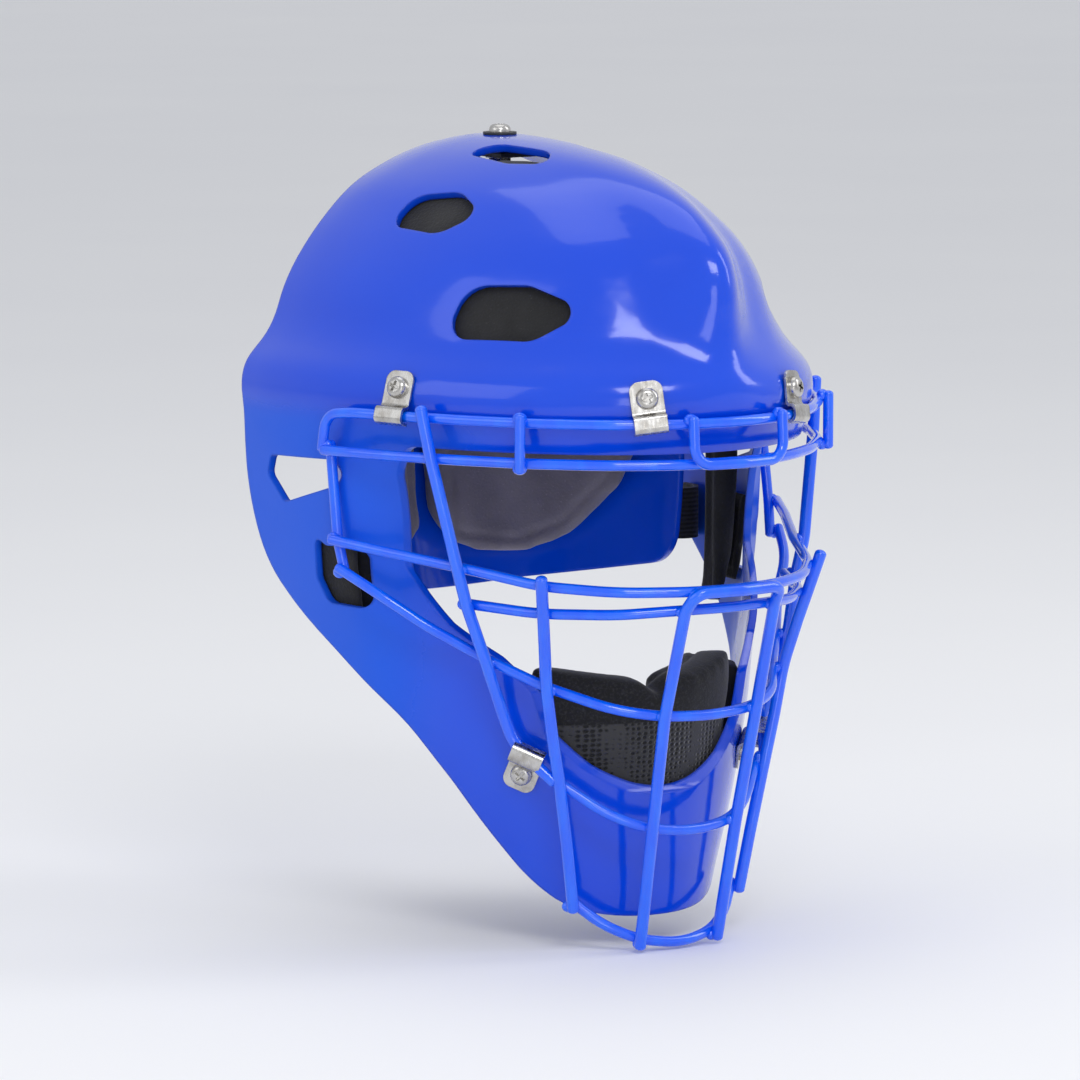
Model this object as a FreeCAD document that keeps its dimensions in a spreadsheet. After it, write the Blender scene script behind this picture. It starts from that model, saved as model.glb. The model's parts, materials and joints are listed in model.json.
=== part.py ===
import FreeCAD, Part
import Sketcher
import math
import os

# Hockey-style catcher's mask.  Millimetres, +Z up, face towards -Y, the wearer's left is +X.
# The origin is the middle of the wearer's head, between the ears at eye level.

V = FreeCAD.Vector

# Driving sizes.  The three overall sizes stretch every outline and every wire together;
# wire, wall, screw and pad sizes are their own.
SIZES = [
    ("overall_width", 202.0, "side panel to side panel"),
    ("overall_length", 180.0, "brow to rear edge of the front shell"),
    ("overall_height", 296.0, "chin edge to crown of the front shell"),
    ("shell_wall", 3.0, "front shell"),
    ("plate_wall", 2.4, "rear plate"),
    ("tongue_wall", 1.8, "adjuster tongue"),
    ("tongue_width", 22.0, "adjuster tongue"),
    ("tongue_drop", 3.0, "front shell to adjuster tongue"),
    ("crown_hole", 10.4, "crown grommet's hole"),
    ("grommet_flange", 0.9, "crown grommet"),
    ("ring_wire", 4.0, "diameter of the cross wires"),
    ("post_wire", 4.6, "diameter of the upright wires"),
    ("weld_bite", 0.5, "how far crossing wires sink into each other"),
    ("clip_width", 12.5, "strap clips"),
    ("clip_wall", 1.0, "strap clips"),
    ("screw_shank", 4.2, "cage screws"),
    ("screw_head", 8.4, "cage screws"),
    ("screw_head_rise", 3.0, "cage screws"),
    ("screw_length", 9.0, "cage screws, under the head"),
    ("crown_screw_length", 14.0, "crown screw, under the head"),
    ("hole_clearance", 0.3, "round a screw, per side"),
    ("nut_flats", 8.0, "across flats"),
    ("nut_height", 3.2, "cage nuts"),
    ("washer_wall", 1.0, "washers"),
    ("washer_width", 11.0, "crown washer"),
    ("pad_gap", 0.4, "between a pad and its shell"),
    ("crown_pad_depth", 13.0, "crown and forehead pads"),
    ("cheek_pad_depth", 17.0, "cheek pads"),
    ("jaw_pad_depth", 10.0, "jaw pads"),
    ("chin_pad_depth", 24.0, "chin cushion"),
    ("rear_pad_depth", 12.0, "rear pads"),
    ("strap_width", 20.0, "elastic straps"),
    ("strap_wall", 1.8, "elastic straps"),
]

doc = FreeCAD.newDocument("catchers_mask")
sheet = doc.addObject("Spreadsheet::Sheet", "sizes")
for row, (alias, number, note) in enumerate(SIZES, start=1):
    sheet.set("A%d" % row, alias)
    sheet.set("B%d" % row, str(number))
    sheet.set("C%d" % row, note)
    sheet.setAlias("B%d" % row, alias)
doc.recompute()

BASE = dict((alias, number) for alias, number, note in SIZES)
size = dict((alias, float(sheet.get(alias))) for alias in BASE)

# Every place below is given on the mask as drawn and stretched with the overall sizes.
STRETCH_X = size["overall_width"] / 202.0
STRETCH_Y = size["overall_length"] / 180.0
STRETCH_Z = size["overall_height"] / 296.0

parts = []


def at(x, y, z):
    """A point of the mask as drawn, moved with the overall sizes."""
    return V(x * STRETCH_X, y * STRETCH_Y, z * STRETCH_Z)


def keep(obj, label):
    """Names a finished sub-part and lists it for export."""
    obj.Label = label
    parts.append(obj)
    return obj


def feature(label, shape):
    """A sub-part whose form no primitive or sketch gives."""
    obj = doc.addObject("Part::Feature", label)
    obj.Shape = shape
    obj.Placement = shape.Placement
    return keep(obj, label)


# ---------------------------------------------------------------- surfaces

def smooth_step(low, high, value):
    share = max(0.0, min(1.0, (value - low) / (high - low)))
    return share * share * (3.0 - 2.0 * share)


class Spline:
    """Natural cubic through stations, in one number."""

    def __init__(self, knots, values):
        n = len(knots)
        self.knots, self.values = knots, values
        gaps = [knots[i + 1] - knots[i] for i in range(n - 1)]
        slopes = [(values[i + 1] - values[i]) / gaps[i] for i in range(n - 1)]
        diagonal, right = [1.0] * n, [0.0] * n
        lower, upper = [0.0] * n, [0.0] * n
        for i in range(1, n - 1):
            lower[i], upper[i] = gaps[i - 1], gaps[i]
            diagonal[i] = 2.0 * (gaps[i - 1] + gaps[i])
            right[i] = 6.0 * (slopes[i] - slopes[i - 1])
        for i in range(1, n):
            share = lower[i] / diagonal[i - 1]
            diagonal[i] -= share * upper[i - 1]
            right[i] -= share * right[i - 1]
        bend = [0.0] * n
        for i in range(n - 2, 0, -1):
            bend[i] = (right[i] - upper[i] * bend[i + 1]) / diagonal[i]
        self.gaps, self.bend = gaps, bend

    def __call__(self, where):
        i = 0
        while i < len(self.gaps) - 1 and where > self.knots[i + 1]:
            i += 1
        gap = self.gaps[i]
        a = (self.knots[i + 1] - where) / gap
        b = 1.0 - a
        curve = (a ** 3 - a) * self.bend[i] + (b ** 3 - b) * self.bend[i + 1]
        return a * self.values[i] + b * self.values[i + 1] + curve * gap * gap / 6.0


class Skin:
    """A smooth surface made of level outlines.

    Each station is (height, half width, middle y, reach, squareness, ridge, lip, tail): the outline
    at that height is a rounded box about the middle, reach being its length ahead of the middle
    and tail its share of that behind, ridge the height of a keel along the front centre line, and
    lip how far the sides turn in ahead of the ears.
    """

    def __init__(self, stations):
        knots = [0.0]
        for before, after in zip(stations, stations[1:]):
            front_before = before[2] - before[3] - before[5]
            front_after = after[2] - after[3] - after[5]
            step = math.hypot(front_after - front_before, after[0] - before[0])
            knots.append(knots[-1] + max(step, 2.0))
        total = knots[-1]
        self.knots = [knot / total for knot in knots]
        self.stations = stations
        columns = list(zip(*stations))
        (self.height, self.width, self.middle, self.reach,
         self.power, self.ridge, self.lip, self.tail) = [
             Spline(self.knots, list(column)) for column in columns]

    def level(self, height):
        """The parameter at which the skin is at this height."""
        low, high = 0.0, 1.0
        for turn in range(40):
            half = (low + high) / 2.0
            if self.height(half) < height:
                low = half
            else:
                high = half
        return (low + high) / 2.0

    def point(self, angle, level):
        """Angle 0 is the front, +90 degrees the wearer's left."""
        side, ahead = math.sin(angle), math.cos(angle)
        power = self.power(level)
        width, reach = self.width(level), self.reach(level)
        if ahead < 0.0:
            reach *= self.tail(level)
        radius = (abs(side / width) ** power + abs(ahead / reach) ** power) ** (-1.0 / power)
        x = radius * side
        y = self.middle(level) - radius * ahead
        x -= self.lip(level) * smooth_step(8.0, 28.0, -y) * x / width
        if ahead > 0.0:
            y -= self.ridge(level) * math.exp(-(x / 15.0) ** 2 * (0.6 + 0.4 * abs(x) / 15.0))
        return at(x, y, self.height(level))

    def normal(self, angle, level):
        """Outward direction."""
        small = 0.004
        low, high = max(0.0, level - small), min(1.0, level + small)
        across = self.point(angle + small, level) - self.point(angle - small, level)
        along = self.point(angle, high) - self.point(angle, low)
        return across.cross(along).normalize()

    def inside(self, angle, level, depth):
        """A point this far under the skin."""
        return self.point(angle, level) - self.normal(angle, level) * depth

    def face(self, angles, levels, depth):
        grid = [[self.inside(angle, level, depth) for level in levels] for angle in angles]
        surface = Part.BSplineSurface()
        surface.interpolate(grid)
        return surface

    def block(self, angle_low, angle_high, low, high, near, far, columns=15, rows=11, flat_x=None):
        """A solid between two depths under the skin, or from one depth to a plane across X.

        The angles are degrees, low and high the heights it spans.
        """
        angles = spread(math.radians(angle_low), math.radians(angle_high), columns)
        levels = spread(self.level(low), self.level(high), rows)
        outer = self.face(angles, levels, near).toShape()
        if flat_x is None:
            inner = self.face(angles, levels, far).toShape()
        else:
            grid = [[self.inside(angle, level, near) for level in levels] for angle in angles]
            surface = Part.BSplineSurface()
            surface.interpolate([[V(flat_x, spot.y, spot.z) for spot in column] for column in grid])
            inner = surface.toShape()
        faces = [outer, inner]
        for first, second in zip(outer.Edges, inner.Edges):
            faces.append(Part.makeRuledSurface(first, second))
        return solid_of(faces)


def spread(low, high, count):
    return [low + (high - low) * i / (count - 1.0) for i in range(count)]


def solid_of(faces):
    shell = Part.makeShell(faces)
    shell.sewShape()
    solid = Part.makeSolid(shell)
    if solid.Volume < 0:
        solid.reverse()
    return solid


CROWN_HEIGHT, CROWN_Y = 154.6, 29.0
CROWN_RING = size["crown_hole"] / 2.0

SHELL = Skin([
    # height, half width, middle y, reach, squareness, ridge, lip, tail
    (-148.0, 45.0, -18.0, 54.0, 2.0, 0.0, 0.0, 1.0),
    (-138.0, 50.0, -15.0, 61.5, 2.0, 0.0, 0.0, 1.0),
    (-127.0, 54.0, -10.0, 69.0, 2.0, 0.0, 0.0, 1.0),
    (-104.0, 68.0, 8.0, 88.5, 2.0, 0.0, 0.0, 1.0),
    (-78.0, 81.0, 22.0, 104.0, 2.0, 0.0, 1.0, 1.0),
    (-55.0, 91.0, 34.0, 118.0, 2.0, 0.0, 3.0, 1.0),
    (-33.0, 96.5, 40.0, 127.0, 2.0, 0.0, 5.0, 1.0),
    (-8.0, 99.5, 40.0, 129.0, 2.4, 0.0, 12.0, 1.0),
    (18.0, 100.3, 40.0, 133.0, 2.6, 0.0, 13.0, 1.0),
    (34.0, 101.0, 40.0, 146.0, 2.3, 0.0, 9.0, 1.0),
    (46.0, 101.4, 40.0, 157.0, 2.0, 0.0, 2.0, 1.0),
    (58.0, 101.8, 40.0, 161.5, 2.0, 0.0, 0.0, 1.0),
    (69.0, 101.0, 40.0, 162.5, 2.0, 1.5, 0.0, 1.0),
    (77.0, 94.5, 40.0, 157.0, 2.0, 4.0, 0.0, 1.0),
    (84.0, 89.0, 40.0, 151.0, 2.0, 8.0, 0.0, 1.0),
    (94.0, 85.0, 40.0, 146.0, 2.0, 12.5, 0.0, 0.95),
    (106.0, 79.5, 39.0, 141.0, 2.0, 16.5, 0.0, 0.88),
    (117.5, 71.5, 38.0, 134.0, 2.0, 18.5, 0.0, 0.79),
    (127.0, 63.0, 36.0, 121.0, 2.0, 19.0, 0.0, 0.71),
    (135.0, 54.5, 34.0, 106.0, 2.0, 18.5, 0.0, 0.64),
    (142.5, 43.0, 32.0, 87.0, 2.0, 15.5, 0.0, 0.58),
    (149.0, 29.0, 30.0, 62.0, 2.0, 9.0, 0.0, 0.58),
    (152.7, 17.0, 29.0, 37.0, 2.0, 3.0, 0.0, 0.62),
    (154.2, 9.5, 29.0, 18.0, 2.0, 0.5, 0.0, 0.75),
    (CROWN_HEIGHT, CROWN_RING, CROWN_Y, CROWN_RING, 2.0, 0.0, 0.0, 1.0),
])

# The rear plate's outer face, in the same form; it hangs inside the front shell.
PLATE = Skin([
    (-30.0, 66.0, 4.0, 80.0, 2.0, 0.0, 0.0, 1.0),
    (-8.0, 70.0, 8.0, 82.0, 2.0, 0.0, 0.0, 1.0),
    (25.0, 73.0, 9.0, 86.0, 2.0, 0.0, 0.0, 1.0),
    (60.0, 73.0, 9.0, 90.0, 2.0, 0.0, 0.0, 1.0),
    (90.0, 68.0, 9.0, 90.0, 2.0, 0.0, 0.0, 1.0),
    (115.0, 56.0, 14.0, 79.0, 2.0, 0.0, 0.0, 1.0),
    (131.0, 42.0, 22.0, 62.0, 2.0, 0.0, 0.0, 1.0),
    (139.5, 30.0, 27.0, 47.0, 2.0, 0.0, 0.0, 1.0),
    (145.5, 17.0, 29.0, 33.0, 2.0, 0.0, 0.0, 1.0),
])


# ---------------------------------------------------------------- outlines and bars

def rounded(points, radius, closed=False):
    """Edges through these points, with a tangent arc at each corner."""
    count = len(points)
    corners = range(count) if closed else range(1, count - 1)
    cuts = {}
    for i in corners:
        corner = points[i]
        before, after = points[i - 1] - corner, points[(i + 1) % count] - corner
        run_before, run_after = before.Length, after.Length
        before.normalize()
        after.normalize()
        half_turn = (math.pi - before.getAngle(after)) / 2.0
        if half_turn < 0.002:
            continue
        longest = 0.47 * min(run_before, run_after)
        back = min(radius * math.tan(half_turn), longest)
        toward_middle = (before + after).normalize()
        bend = back / math.tan(half_turn)
        middle = corner + toward_middle * (math.hypot(back, bend) - bend)
        cuts[i] = (corner + before * back, middle, corner + after * back)
    edges = []
    last = cuts[0][2] if closed and 0 in cuts else points[0]
    for i in list(range(1, count)) + ([0] if closed else []):
        start = cuts[i][0] if i in cuts else points[i]
        if (start - last).Length > 1e-5:
            edges.append(Part.LineSegment(last, start).toShape())
        last = start
        if i in cuts:
            edges.append(Part.Arc(*cuts[i]).toShape())
            last = cuts[i][2]
    if closed and 0 not in cuts and (last - points[0]).Length > 1e-5:
        edges.append(Part.LineSegment(last, points[0]).toShape())
    return edges


def bar(points, diameter, radius, closed=False):
    """A round wire along rounded points."""
    edges = rounded(points, radius, closed)
    path = Part.Wire(edges)
    start = edges[0].valueAt(edges[0].FirstParameter)
    ahead = edges[0].tangentAt(edges[0].FirstParameter)
    ring = Part.Wire([Part.Circle(start, ahead, diameter / 2.0).toShape()])
    solid = path.makePipeShell([ring], True, False)
    if solid.Volume < 0:
        solid.reverse()
    return solid


def side_prism(outline, radius, x_low, x_high):
    """A solid across X with this outline, given as (y, z)."""
    points = [at(0.0, y, z) for y, z in outline]
    face = Part.Face(Part.Wire(rounded(points, radius, True)))
    face.translate(V(x_low, 0, 0))
    return face.extrude(V(x_high - x_low, 0, 0))


def skin_prism(points, radius, depth):
    """A solid through the skin with this outline, given as points on it."""
    points = [at(*point) for point in points]
    middle = V(0, 0, 0)
    for point in points:
        middle += point
    middle = middle * (1.0 / len(points))
    normal = V(0, 0, 0)
    for first, second in zip(points, points[1:] + points[:1]):
        normal += (first - middle).cross(second - middle)
    normal.normalize()
    flat = [point - normal * (point - middle).dot(normal) for point in points]
    face = Part.Face(Part.Wire(rounded(flat, radius, True)))
    face.translate(normal * -depth)
    return face.extrude(normal * 2.0 * depth)


def mirrored(shape):
    return shape.mirror(V(0, 0, 0), V(1, 0, 0))


class Seat:
    """Where a screw stands on the shell: foot, outward direction, and inward depth."""

    def __init__(self, angle, height):
        self.level = SHELL.level(height)
        self.angle = math.radians(angle)
        self.foot = SHELL.point(self.angle, self.level)
        self.out = SHELL.normal(self.angle, self.level)

    def hollow(self, radius):
        """How far the wall falls away from flat within a radius of the foot."""
        step = 0.01
        across = SHELL.point(self.angle + step, self.level) - self.foot
        upward = SHELL.point(self.angle, self.level + step) - self.foot
        turns = [(i, j) for i in (-1, 0, 1) for j in (-1, 0, 1) if i or j]
        around = [SHELL.point(self.angle + i * step * radius / (across.Length * math.hypot(i, j)),
                              self.level + j * step * radius / (upward.Length * math.hypot(i, j)))
                  for i, j in turns]
        return max((self.foot - point).dot(self.out) for point in around)

    def hole(self, radius, reach=14.0):
        return Part.makeCylinder(radius, 2 * reach, self.foot - self.out * reach, self.out)


FRONT_SEAT, TEMPLE_SEAT, JAW_SEAT = (12.2, 67.0), (50.0, 67.5), (32.5, -78.4)
SEAT_NAMES = ("brow", "temple", "jaw")
SEATS = {}
for seat_name, (seat_angle, seat_height) in zip(SEAT_NAMES, (FRONT_SEAT, TEMPLE_SEAT, JAW_SEAT)):
    SEATS[seat_name, "right"] = Seat(-seat_angle, seat_height)
    SEATS[seat_name, "left"] = Seat(seat_angle, seat_height)
CROWN_FOOT = at(0.0, CROWN_Y, CROWN_HEIGHT)

SCREW_HOLE = size["screw_shank"] / 2.0 + size["hole_clearance"]


# ---------------------------------------------------------------- front shell

REAR_AND_UNDERSIDE = [(62, 190), (54, 120), (55.5, 60), (53, 20), (42, -4), (6, -34.5), (-18, -57),
                      (-35, -83.5), (-53, -119.5), (-63, -130), (-75, -134.5), (-120, -136),
                      (-120, -170), (260, -170), (260, 190)]
FACE_OPENING = [(-200, 45.5), (-35, 45.5), (-26, 34), (-25, -2), (-41, -22), (-55, -34),
                (-64, -47), (-66, -63), (-72, -75), (-81.5, -89), (-200, -90)]
STRAP_SLOT = [(36, 36.5), (-3, 38), (-8, 33), (-5, 28.5), (28, 19), (39, 29)]
EAR_HOLE = [(9, 8), (2, 5), (-16, 6), (-16, -18), (4, -17), (9, -8)]
CROWN_VENT = [(-28, 12, 150), (-15, 10, 153), (-10, -20, 153), (-19, -29, 148.5), (-27, -14, 149)]
SIDE_VENT = [(-65, 9, 124), (-54, 9, 135), (-46, -12, 137), (-49, -30, 130), (-61, -18, 122)]
BROW_VENT = [(-76, -42, 86), (-67, -45, 106), (-52, -66, 106), (-41, -88, 98), (-57, -74, 86)]


def front_shell():
    angles, levels = spread(-math.pi, math.pi, 73), spread(0.0, 1.0, 49)
    outer = SHELL.face(angles, levels, 0.0).toShape()
    inner = SHELL.face(angles, levels, size["shell_wall"]).toShape()
    outer_rings = [edge for edge in outer.Edges if edge.isClosed()]
    inner_rings = [edge for edge in inner.Edges if edge.isClosed()]
    faces = [outer, inner]
    for first, second in zip(outer_rings, inner_rings):
        faces.append(Part.makeRuledSurface(first, second))
    solid = solid_of(faces)
    tools = [side_prism(REAR_AND_UNDERSIDE, 90.0, -150, 150),
             side_prism(FACE_OPENING, 9.0, -150, 150),
             side_prism(STRAP_SLOT, 3.0, -150, 150),
             side_prism(EAR_HOLE, 5.0, -150, -60),
             side_prism(EAR_HOLE, 5.0, 60, 150)]
    for outline, reach in ((CROWN_VENT, 12.0), (SIDE_VENT, 16.0), (BROW_VENT, 16.0)):
        cutter = skin_prism(outline, 13.0, reach)
        tools += [cutter, mirrored(cutter)]
    for seat in SEATS.values():
        tools.append(seat.hole(SCREW_HOLE))
    solid = solid.cut(tools)
    return feature("front_shell", max(solid.Solids, key=lambda piece: piece.Volume))


# ---------------------------------------------------------------- cage

RING, POST = size["ring_wire"], size["post_wire"]
CROSSING = (RING + POST) / 2.0 - size["weld_bite"]
RING_CROSSING = RING - size["weld_bite"]


def outward(point, distance):
    """Moves a point of the cage straight away from the middle of the head, level."""
    place = at(*point)
    away = V(point[0], point[1] - 15.0, 0.0).normalize()
    return place + away * distance


def both_sides(half, distance=0.0):
    """A wire from right to left, its left half given from the centre out."""
    right = [outward((-x, y, z), distance) for x, y, z in reversed(half) if x > 0]
    left = [outward((x, y, z), distance) for x, y, z in half]
    return right + left


BROW_RUN = [(25, -121.5), (47, -107.5), (67, -86.5), (82, -62), (94.5, -36), (101, -18), (104, -6)]
UPPER_BROW = [(0, -126, 57.5)] + [(x, y, 57.5) for x, y in BROW_RUN[:-1]] + [(103.5, -6, 56), (104, -4, 43)]
LOWER_BROW = [(0, -126, 42.5)] + [(x, y, 42.5) for x, y in BROW_RUN[:-1]] + [(104.3, -5.5, 42.5)]
EYE_UPPER = [(0, -125, -5), (19, -122.5, -5), (43, -109, -5), (62, -87, -3.5), (77.5, -57, 1.5),
             (94.5, -29, 6), (104.3, -10.5, 9)]
EYE_LOWER = [(0, -121, -12.3), (20, -118, -12.3), (40, -105, -14), (60.5, -83.5, -14.3), (74, -56, -12.5)]
MOUTH_WIRE = [(0, -108, -54.5), (20.5, -106, -53.6), (37, -97.5, -50.5), (53, -76.5, -43),
              (67.5, -59.5, -33.5), (82, -41, -22), (95, -29, -10.5), (103, -13.5, -1.5)]
CHIN_WIRE = [(0, -98.5, -99.5), (18.5, -96, -97.5), (32, -88, -92), (46, -75.5, -80)]
BOTTOM_RING = [(0, -90.5, -143.5), (17, -86.5, -141), (29, -79.5, -135), (37.3, -71.5, -126.5)]
SIDE_POST = [(88.6, -49.7, 61), (86, -52, 43), (77.9, -57.1, 1.5), (74, -57.2, -12.5), (68, -60.5, -33.5),
             (59.5, -59.5, -55), (55.8, -61, -66), (47.5, -73.5, -79)]
CHEEK_POST = [(62.7, -88, -0.5), (56.8, -81.5, -26), (53.2, -77.5, -43), (49.8, -76.5, -62),
              (46, -75.5, -80), (41.3, -73.5, -105), (37.2, -71.5, -129)]
NOSE_LOOP = [(0, -125, -5), (18.6, -123, -5), (20, -117.3, -12.3), (20.5, -105.3, -53.6),
             (18.7, -95.2, -97.5), (17.3, -85.5, -143)]
GUARD_LOOP = [(0, -126.1, 42.5), (19.8, -123.2, 42.5), (19.8, -122.2, 59.5)]
BROW_TIE = [(69.3, -84, 59.8), (69.3, -84, 40.3)]
END_POST = [(104, -5, 44.5), (104.3, -10.5, 9), (103, -13.5, -3.5)]


def cage():
    """Every wire is a bar of its own, sunk a little into the wires it is welded to."""
    for label, half, turn in (("brow_wire_upper", UPPER_BROW, 60.0), ("brow_wire_lower", LOWER_BROW, 60.0),
                              ("eye_wire_upper", EYE_UPPER, 60.0), ("eye_wire_lower", EYE_LOWER, 60.0),
                              ("mouth_wire", MOUTH_WIRE, 60.0), ("chin_wire", CHIN_WIRE, 60.0),
                              ("bottom_wire", BOTTOM_RING, 40.0)):
        feature(label, bar(both_sides(half), RING, turn))
    feature("nose_loop", bar(both_sides(NOSE_LOOP, CROSSING), POST, 7.0))
    feature("brow_guard_loop", bar(both_sides(GUARD_LOOP, RING_CROSSING), RING, 7.0))
    for side, name in ((-1, "right"), (1, "left")):
        for label, run, diameter, away, turn in (
                ("side_post", SIDE_POST, POST, CROSSING, 30.0),
                ("cheek_post", CHEEK_POST, POST, CROSSING, 60.0),
                ("brow_tie", BROW_TIE, RING, RING_CROSSING, 5.0),
                ("end_post", END_POST, RING, -RING_CROSSING, 40.0)):
            points = [outward((side * x, y, z), away) for x, y, z in run]
            feature(label + "_" + name, bar(points, diameter, turn))



# ---------------------------------------------------------------- clips and fasteners

def origin_plane(body, role):
    return [item for item in body.Origin.OriginFeatures if item.Role == role][0]


def flat_sketch(body, name, role, edges):
    """A sketch of these edges on one of the body's own origin planes."""
    sketch = body.newObject("Sketcher::SketchObject", name)
    sketch.AttachmentSupport = [(origin_plane(body, role), "")]
    sketch.MapMode = "FlatFace"
    for edge in edges:
        sketch.addGeometry(edge, False)
    return sketch


def ring_sketch(body, name, role, radius):
    """A circle about the origin; its radius is a formula of the sheet's cells."""
    sketch = flat_sketch(body, name, role, [Part.Circle(V(0, 0, 0), V(0, 0, 1), 1.0)])
    sketch.addConstraint(Sketcher.Constraint("Coincident", 0, 3, -1, 1))
    index = sketch.addConstraint(Sketcher.Constraint("Radius", 0, 1.0))
    sketch.setExpression("Constraints[%d]" % index, radius)
    return sketch


def sketch_curves(edges):
    """The same lines and arcs as sketch geometry, anticlockwise about +Z."""
    curves = []
    for edge in edges:
        low, high = edge.ParameterRange
        first, half, last = edge.valueAt(low), edge.valueAt((low + high) / 2.0), edge.valueAt(high)
        if edge.Curve.TypeId == "Part::GeomLine":
            curves.append(Part.LineSegment(first, last))
            continue
        middle, radius = edge.Curve.Center, edge.Curve.Radius
        turns = [math.atan2(spot.y - middle.y, spot.x - middle.x) for spot in (first, half, last)]
        ahead = (turns[1] - turns[0]) % (2 * math.pi) < (turns[2] - turns[0]) % (2 * math.pi)
        start, end = (turns[0], turns[2]) if ahead else (turns[2], turns[0])
        circle = Part.Circle(middle, V(0, 0, 1), radius)
        curves.append(Part.ArcOfCircle(circle, start, start + (end - start) % (2 * math.pi)))
    return curves


def beside(path, distance):
    """The path moved sideways in the XY plane, with mitred corners."""
    moved = []
    for i, spot in enumerate(path):
        before = path[i] - path[i - 1] if i > 0 else path[1] - path[0]
        after = path[i + 1] - path[i] if i < len(path) - 1 else path[-1] - path[-2]
        before.normalize()
        after.normalize()
        side = V(-before.y - after.y, before.x + after.x, 0).normalize()
        moved.append(spot + side * (distance / side.dot(V(-before.y, before.x, 0))))
    return moved


def strip_outline(path, wall, turn):
    """The closed outline of a strip of this thickness along the path."""
    left, right = beside(path, wall / 2.0), beside(path, -wall / 2.0)
    edges = rounded(left, turn)
    edges.append(Part.LineSegment(left[-1], right[-1]).toShape())
    edges += rounded(right[::-1], turn)
    edges.append(Part.LineSegment(right[0], left[0]).toShape())
    return edges


def frame_at(foot, along, out):
    """A placement with local X along and local Y out."""
    across = along.cross(out)
    return FreeCAD.Placement(foot, FreeCAD.Rotation(along, out, across, "XYZ"))


def cage_clip(label, seat, wire_point, wire, slack):
    """A steel strap: flat under the screw, then over the wire and down its far side."""
    reach = wire_point - seat.foot
    rise = reach.dot(seat.out)
    along = reach - seat.out * rise
    run = along.Length
    along.normalize()
    wall = size["clip_wall"]
    turn = (wire + wall) / 2.0 + slack
    path = [V(-6.5, wall / 2.0, 0), V(run - turn, wall / 2.0, 0), V(run - turn, rise + turn, 0),
            V(run + turn, rise + turn, 0), V(run + turn, rise - 0.6 * turn, 0)]
    body = doc.addObject("PartDesign::Body", label)
    outline = sketch_curves(strip_outline(path, wall, turn * 0.9))
    pad = body.newObject("PartDesign::Pad", label + "_strip")
    pad.Profile = flat_sketch(body, label + "_side", "XY_Plane", outline)
    pad.Midplane = True
    pad.setExpression("Length", "sizes.clip_width")
    doc.recompute()
    hole = body.newObject("PartDesign::Pocket", label + "_hole")
    hole.Profile = ring_sketch(body, label + "_bore", "XZ_Plane",
                               "sizes.screw_shank / 2 + sizes.hole_clearance")
    hole.Midplane = True
    hole.Length = 4.0
    doc.recompute()
    corners = ["Edge%d" % (i + 1) for i, edge in enumerate(hole.Shape.Edges)
               if edge.BoundBox.XMax < -6.4 and edge.BoundBox.YLength > 0.5 * wall]
    round_end = body.newObject("PartDesign::Fillet", label + "_end")
    round_end.Base = (hole, corners)
    round_end.setExpression("Radius", "sizes.clip_width * 0.3")
    doc.recompute()
    body.Placement = frame_at(seat.foot, along, seat.out)
    return keep(body, label)


def cell_cylinder(name, radius, height, z):
    """A cylinder about Z; its sizes are formulas of the sheet's cells."""
    shape = doc.addObject("Part::Cylinder", name)
    shape.setExpression("Radius", radius)
    shape.setExpression("Height", height)
    shape.setExpression("Placement.Base.z", z)
    return shape


def joined(kind, name, base, tool):
    shape = doc.addObject(kind, name)
    shape.Base = base
    shape.Tool = tool
    return shape


def pan_head_screw(length):
    """A pan-head screw with a cross recess; the head's underside is at z = 0."""
    shank = cell_cylinder("screw_shank", "sizes.screw_shank / 2", "sizes." + length,
                          "-sizes." + length)
    head = cell_cylinder("screw_pan", "sizes.screw_head / 2", "sizes.screw_head_rise", "0")
    doc.recompute()
    crown = doc.addObject("Part::Fillet", "screw_dome")
    crown.Base = head
    top = [i + 1 for i, edge in enumerate(head.Shape.Edges)
           if edge.BoundBox.ZMin > size["screw_head_rise"] - 0.01]
    dome = min(size["screw_head_rise"] * 0.75, size["screw_head"] * 0.3)
    crown.Edges = [(index, dome, dome) for index in top]
    screw = joined("Part::Fuse", "screw_plain", crown, shank)
    for turn in (0, 90):
        bar_cut = doc.addObject("Part::Box", "recess_%d" % turn)
        bar_cut.setExpression("Length", "sizes.screw_head * 0.5")
        bar_cut.setExpression("Width", "sizes.screw_head * 0.13")
        bar_cut.setExpression("Height", "sizes.screw_head_rise")
        length, width = size["screw_head"] * 0.5, size["screw_head"] * 0.13
        corner = V(-length / 2.0, -width / 2.0, size["screw_head_rise"] * 0.4)
        spin = FreeCAD.Rotation(V(0, 0, 1), turn)
        bar_cut.Placement = FreeCAD.Placement(spin.multVec(corner), spin)
        screw = joined("Part::Cut", "screw_cut_%d" % turn, screw, bar_cut)
    doc.recompute()
    return screw.Shape


def hex_nut():
    """A plain nut from z = 0 downwards."""
    prism = doc.addObject("Part::Prism", "nut_prism")
    prism.Polygon = 6
    prism.setExpression("Circumradius", "sizes.nut_flats / 1.7320508")
    prism.setExpression("Height", "sizes.nut_height")
    prism.setExpression("Placement.Base.z", "-sizes.nut_height")
    bore = cell_cylinder("nut_bore", "sizes.screw_shank / 2 + 0.05", "sizes.nut_height * 2",
                         "-sizes.nut_height * 1.5")
    nut = joined("Part::Cut", "nut_plain", prism, bore)
    doc.recompute()
    return nut.Shape


def standing(shape, foot, out):
    """A copy of the shape with its Z axis along out, at the foot."""
    copy = shape.copy()
    copy.Placement = FreeCAD.Placement(foot, FreeCAD.Rotation(V(0, 0, 1), out))
    return copy


def group(label, shapes):
    return feature(label, Part.makeCompound(shapes))


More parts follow.
